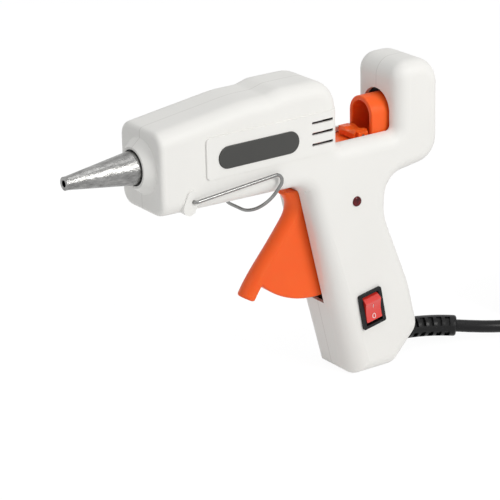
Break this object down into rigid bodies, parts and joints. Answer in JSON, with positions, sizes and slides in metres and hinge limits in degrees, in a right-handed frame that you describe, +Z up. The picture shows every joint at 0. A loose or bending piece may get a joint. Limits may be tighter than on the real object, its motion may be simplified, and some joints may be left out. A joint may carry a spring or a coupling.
{
  "type": "hot glue gun",
  "caption": "Pistol-grip hot glue gun with a cone nozzle, a squeeze trigger that drives a stick carriage, a fold-out wire stand, a rocker switch and a hanked mains lead.",
  "frame": {"origin": "centre of the flat foot of the handle's butt, on the parting plane", "axes": "+X forward along the feed line to the nozzle, +Y to the gun's left, +Z up"},
  "size_m": [0.3601, 0.0433, 0.142],
  "materials": {
    "housing_white": "fine satin moulding",
    "orange": "smooth moulding",
    "badge_grey": "bare dark plate",
    "black_plastic": "satin",
    "black_rubber": "soft satin",
    "tie_black": "satin",
    "red_plastic": "glossy",
    "lens_red": "glossy, unlit",
    "lamp_clear": "clear",
    "nozzle_metal": "turned, lightly scratched",
    "heater_ceramic": "sintered ceramic",
    "film_amber": "thin film",
    "silicone": "matt",
    "steel": "plated",
    "stand_steel": "bright drawn wire",
    "brass": "plated",
    "lead_brown": "sleeve",
    "lead_blue": "sleeve"
  },
  "bodies": {
    "housing": {"left_shell": "housing_white", "right_shell": "housing_white", "badge_plate": "badge_grey", "nozzle_bushing": "black_plastic", "switch_body": "black_plastic", "plug_body": "black_plastic", "cord_clamp": "black_plastic", "strain_relief": "black_rubber", "cord_tail": "black_rubber", "cord_run": "black_rubber", "cord_hank": "black_rubber", "hank_tie": "tie_black", "indicator_lens": "lens_red", "indicator_lamp": "lamp_clear", "nozzle": "nozzle_metal", "melt_chamber": "nozzle_metal", "heater": "heater_ceramic", "heater_insulator": "film_amber", "feed_sleeve": "silicone", "shell_screws": "steel", "clamp_screws": "steel", "trigger_pin": "steel", "return_spring": "steel", "sleeve_clip": "steel", "switch_terminals": "brass", "plug_pins": "brass", "live_lead": "lead_brown", "switched_lead": "lead_brown", "neutral_lead": "lead_blue"},
    "trigger": {"trigger": "orange", "drive_pin": "steel"},
    "carriage": {"stick_carriage": "orange", "claw_pin": "steel"},
    "claw": {"grip_claw": "orange"},
    "rocker": {"switch_rocker": "red_plastic"},
    "stand": {"wire_stand": "stand_steel"}
  },
  "joints": [
    {"name": "trigger_pull", "type": "hinge", "parent": "housing", "child": "trigger", "pos_m": [0.025, 0, 0.081], "axis": [0, 1, 0], "range_deg": [0, 24], "stiffness_Nm_per_rad": 0.8, "springref_deg": -17.19},
    {"name": "carriage_slide", "type": "slide", "parent": "housing", "child": "carriage", "axis": [1, 0, 0], "range_m": [0, 0.00874], "deforming": ["return_spring"]},
    {"name": "claw_bite", "type": "hinge", "parent": "carriage", "child": "claw", "pos_m": [0.00114, 0, 0.1104], "axis": [0, 1, 0], "range_deg": [0, 8.01]},
    {"name": "rocker_tilt", "type": "hinge", "parent": "housing", "child": "rocker", "pos_m": [0.0035, 0.0132, 0.0321], "axis": [0.9833, 0, -0.1822], "range_deg": [0, 17.4]},
    {"name": "stand_swing", "type": "hinge", "parent": "housing", "child": "stand", "pos_m": [0.0968, 0, 0.1029], "axis": [0, -1, 0], "range_deg": [0, 95]}
  ],
  "couplings": [
    {"joint": "carriage_slide", "follows": "trigger_pull", "m_per_rad": 0.020847},
    {"joint": "claw_bite", "follows": "trigger_pull", "ratio": 0.33333}
  ]
}
